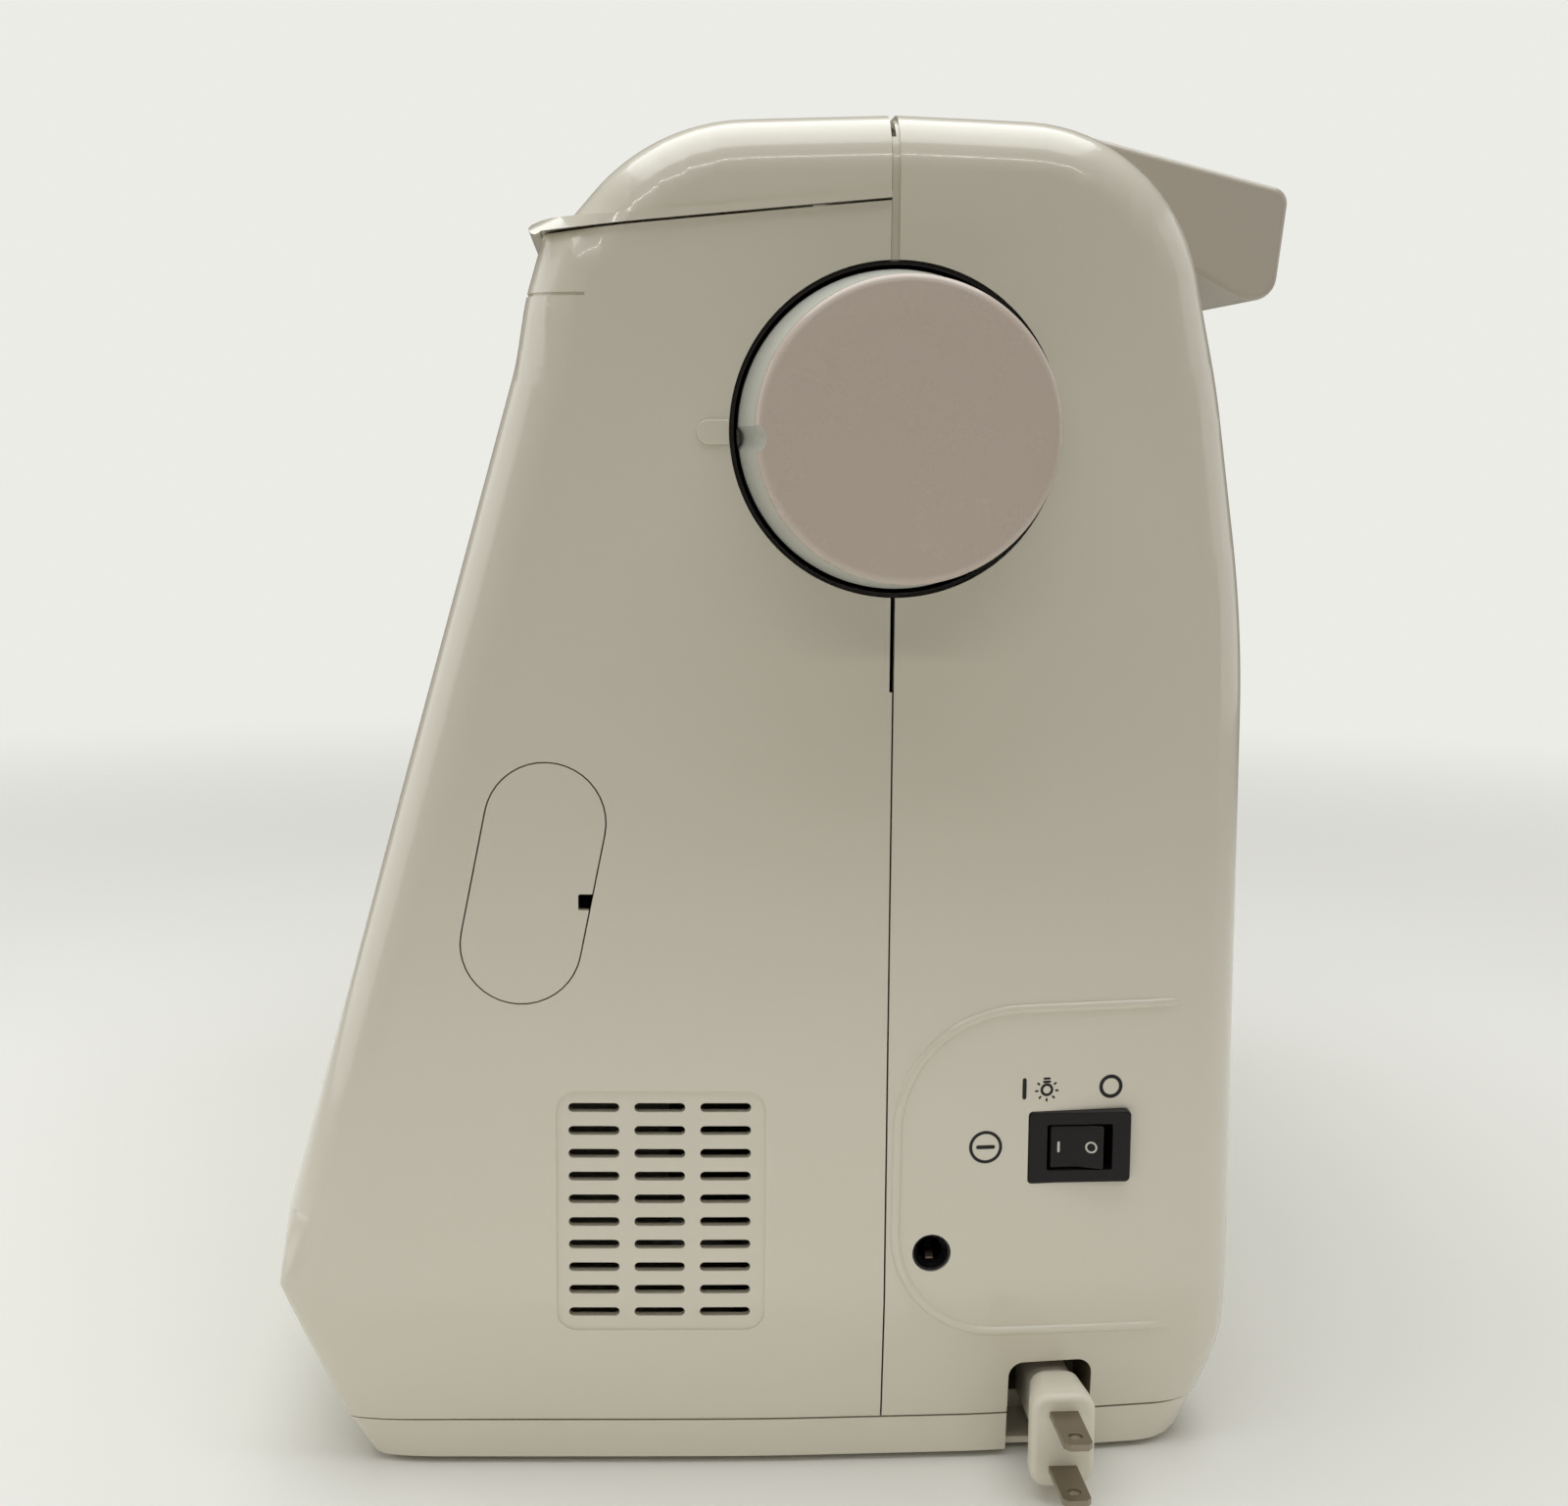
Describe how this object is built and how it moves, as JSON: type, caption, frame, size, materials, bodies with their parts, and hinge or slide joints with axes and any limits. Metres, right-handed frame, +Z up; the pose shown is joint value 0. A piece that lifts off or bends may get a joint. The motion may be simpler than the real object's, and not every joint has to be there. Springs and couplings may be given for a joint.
{
  "type": "household sewing machine",
  "caption": "Free-arm household sewing machine with top lid, fold-back carry handle, handwheel, power rocker and pedal jack.",
  "frame": {"origin": "centre of the bounding box on the table plane under the rubber feet", "axes": "+X to the handwheel end, +Y to the rear, +Z up"},
  "size_m": [0.447, 0.2386, 0.3068],
  "materials": {
    "housing": "glossy ivory moulding",
    "grey_plastic": "light grey moulding",
    "black_plastic": "black moulding",
    "steel": "ground and plated",
    "rubber": "soft rubber",
    "cord_vinyl": "soft ivory vinyl",
    "cast_frame": "die cast",
    "bronze": "sintered",
    "motor_can": "black enamel",
    "clear_plastic": "clear moulding",
    "display": "tinted window",
    "board": "lacquered board"
  },
  "bodies": {
    "root": {"base_cover": "housing", "rubber_feet": "rubber", "front_shell": "housing", "rear_shell": "housing", "face_cover": "housing", "lid_hinge_pins": "steel", "wheel_ring": "black_plastic", "service_cover": "housing", "switch_bezel": "black_plastic", "pedal_jack": "black_plastic", "plug_body": "cord_vinyl", "plug_blades": "steel", "cord_reel": "black_plastic", "reel_cord": "cord_vinyl", "main_frame": "cast_frame", "shaft_bushes": "bronze", "timing_belt": "rubber", "drive_motor": "motor_can", "motor_belt": "rubber", "bobbin_case": "black_plastic", "needle_plate": "steel", "free_arm_cover": "housing", "display_window": "display", "spool_pin": "grey_plastic", "control_board": "board"},
    "lid": {"top_lid": "housing"},
    "handle": {"carry_handle": "housing", "handle_pins": "steel"},
    "wheel": {"handwheel": "grey_plastic", "upper_shaft": "steel"},
    "lower_drive": {"lower_shaft": "steel"},
    "motor_rotor": {"motor_shaft": "steel"},
    "hook": {"hook": "steel"},
    "bobbin": {"bobbin": "clear_plastic"},
    "rocker": {"power_rocker": "black_plastic"},
    "bobbin_cover": {"bobbin_cover": "clear_plastic"},
    "feed_lift": {"feed_lift_bar": "steel"},
    "feed": {"feed_dogs": "steel"},
    "gate": {"needle_gate": "steel"},
    "needle_bar": {"needle_bar": "steel", "needle_clamp": "steel", "needle": "steel"},
    "link": {"crank_link": "steel"},
    "presser": {"presser_bar": "steel"},
    "foot": {"presser_foot": "steel"},
    "lifter": {"presser_lifter": "grey_plastic"},
    "take_up": {"take_up_lever": "steel"},
    "dial": {"tension_dial": "grey_plastic"},
    "table": {"accessory_table": "housing"},
    "table_lid": {"table_lid": "housing"},
    "slider": {"speed_slider": "grey_plastic"},
    "spool_cap": {"spool_cap": "grey_plastic"},
    "winder": {"bobbin_winder": "grey_plastic"},
    "key_1": {"key_1": "grey_plastic"},
    "key_2": {"key_2": "grey_plastic"},
    "key_3": {"key_3": "grey_plastic"},
    "key_4": {"key_4": "grey_plastic"},
    "start_stop": {"start_stop_button": "grey_plastic"},
    "reverse": {"reverse_button": "grey_plastic"},
    "needle_position": {"needle_position_button": "grey_plastic"}
  },
  "joints": [
    {"name": "handwheel_spin", "type": "hinge", "parent": "root", "child": "wheel", "pos_m": [0.18625, 0.01745, 0.2365], "axis": [1, 0, 0], "continuous": true},
    {"name": "lower_shaft_spin", "type": "hinge", "parent": "root", "child": "lower_drive", "pos_m": [0, 0.01745, 0.04], "axis": [1, 0, 0], "continuous": true},
    {"name": "motor_spin", "type": "hinge", "parent": "root", "child": "motor_rotor", "pos_m": [0.12625, -0.03755, 0.1305], "axis": [1, 0, 0], "continuous": true},
    {"name": "hook_spin", "type": "hinge", "parent": "root", "child": "hook", "pos_m": [-0.13575, -0.00055, 0.05], "axis": [0, 0, 1], "continuous": true},
    {"name": "bobbin_spin", "type": "hinge", "parent": "root", "child": "bobbin", "pos_m": [-0.13575, -0.00055, 0.055], "axis": [0, 0, 1], "continuous": true},
    {"name": "lid_hinge", "type": "hinge", "parent": "root", "child": "lid", "pos_m": [0, 0.01335, 0.3016], "axis": [-1, 0, 0], "range_deg": [0, 85]},
    {"name": "handle_fold", "type": "hinge", "parent": "root", "child": "handle", "pos_m": [0, 0.06255, 0.2943], "axis": [1, 0, 0], "range_deg": [0, 90]},
    {"name": "power_rocker_tilt", "type": "hinge", "parent": "root", "child": "rocker", "pos_m": [0.18037, 0.06175, 0.07545], "axis": [0, 0, 1], "range_deg": [0, 16]},
    {"name": "bobbin_cover_hinge", "type": "hinge", "parent": "root", "child": "bobbin_cover", "pos_m": [-0.13575, -0.02485, 0.071], "axis": [1, 0, 0], "range_deg": [0, 75]},
    {"name": "feed_lift", "type": "slide", "parent": "root", "child": "feed_lift", "axis": [0, 0, 1], "range_m": [-0.0024, 0]},
    {"name": "feed_slide", "type": "slide", "parent": "feed_lift", "child": "feed", "axis": [0, 1, 0], "range_m": [-0.0024, 0.0024]},
    {"name": "needle_swing", "type": "hinge", "parent": "root", "child": "gate", "pos_m": [-0.14625, 0.01745, 0.242], "axis": [0, 1, 0], "range_deg": [-1.2, 1.2]},
    {"name": "needle_bar_slide", "type": "slide", "parent": "gate", "child": "needle_bar", "axis": [0, 0, -1], "range_m": [0, 0.03]},
    {"name": "crank_link_swing", "type": "hinge", "parent": "needle_bar", "child": "link", "pos_m": [-0.12175, 0.01745, 0.2075], "axis": [1, 0, 0], "range_deg": [-20, 20]},
    {"name": "presser_lift", "type": "slide", "parent": "root", "child": "presser", "axis": [0, 0, 1], "range_m": [0, 0.007]},
    {"name": "presser_foot_tilt", "type": "hinge", "parent": "presser", "child": "foot", "pos_m": [-0.13575, 0.02595, 0.0801], "axis": [1, 0, 0], "range_deg": [-2.5, 1]},
    {"name": "presser_lifter_turn", "type": "hinge", "parent": "root", "child": "lifter", "pos_m": [-0.13575, 0.06245, 0.2], "axis": [1, 0, 0], "range_deg": [0, 60]},
    {"name": "take_up_swing", "type": "hinge", "parent": "root", "child": "take_up", "pos_m": [-0.14775, -0.00855, 0.226], "axis": [1, 0, 0], "range_deg": [0, 45]},
    {"name": "tension_dial_turn", "type": "hinge", "parent": "root", "child": "dial", "pos_m": [-0.12475, -0.05207, 0.25507], "axis": [1, 0, 0], "range_deg": [-140, 140]},
    {"name": "table_slide", "type": "slide", "parent": "root", "child": "table", "axis": [-1, 0, 0], "range_m": [0, 0.15]},
    {"name": "table_lid_hinge", "type": "hinge", "parent": "table", "child": "table_lid", "pos_m": [0, -0.03555, 0.0708], "axis": [-1, 0, 0], "range_deg": [0, 90]},
    {"name": "speed_slide", "type": "slide", "parent": "root", "child": "slider", "axis": [1, 0, 0], "range_m": [0, 0.024]},
    {"name": "spool_cap_slide", "type": "slide", "parent": "root", "child": "spool_cap", "axis": [1, 0, 0], "range_m": [0, 0.07]},
    {"name": "winder_spin", "type": "hinge", "parent": "root", "child": "winder", "pos_m": [0.09425, -0.02655, 0.28104], "axis": [0, 0, 1], "continuous": true},
    {"name": "key_1_press", "type": "slide", "parent": "root", "child": "key_1", "axis": [0, 0.9639, -0.2662], "range_m": [0, 0.0015], "stiffness_N_per_m": 300, "springref_m": -0.002},
    {"name": "key_2_press", "type": "slide", "parent": "root", "child": "key_2", "axis": [0, 0.9639, -0.2662], "range_m": [0, 0.0015], "stiffness_N_per_m": 300, "springref_m": -0.002},
    {"name": "key_3_press", "type": "slide", "parent": "root", "child": "key_3", "axis": [0, 0.9639, -0.2662], "range_m": [0, 0.0015], "stiffness_N_per_m": 300, "springref_m": -0.002},
    {"name": "key_4_press", "type": "slide", "parent": "root", "child": "key_4", "axis": [0, 0.9639, -0.2662], "range_m": [0, 0.0015], "stiffness_N_per_m": 300, "springref_m": -0.002},
    {"name": "start_stop_press", "type": "slide", "parent": "root", "child": "start_stop", "axis": [0, 0.9639, -0.2662], "range_m": [0, 0.0015], "stiffness_N_per_m": 300, "springref_m": -0.002},
    {"name": "reverse_press", "type": "slide", "parent": "root", "child": "reverse", "axis": [0, 0.9639, -0.2662], "range_m": [0, 0.0015], "stiffness_N_per_m": 300, "springref_m": -0.002},
    {"name": "needle_position_press", "type": "slide", "parent": "root", "child": "needle_position", "axis": [0, 0.9639, -0.2662], "range_m": [0, 0.0015], "stiffness_N_per_m": 300, "springref_m": -0.002}
  ],
  "couplings": [
    {"joint": "lower_shaft_spin", "follows": "handwheel_spin", "ratio": 1},
    {"joint": "motor_spin", "follows": "handwheel_spin", "ratio": 2.8571},
    {"joint": "hook_spin", "follows": "handwheel_spin", "ratio": 2},
    {"joint": "presser_lifter_turn", "follows": "presser_lift", "rad_per_m": 149.59}
  ]
}
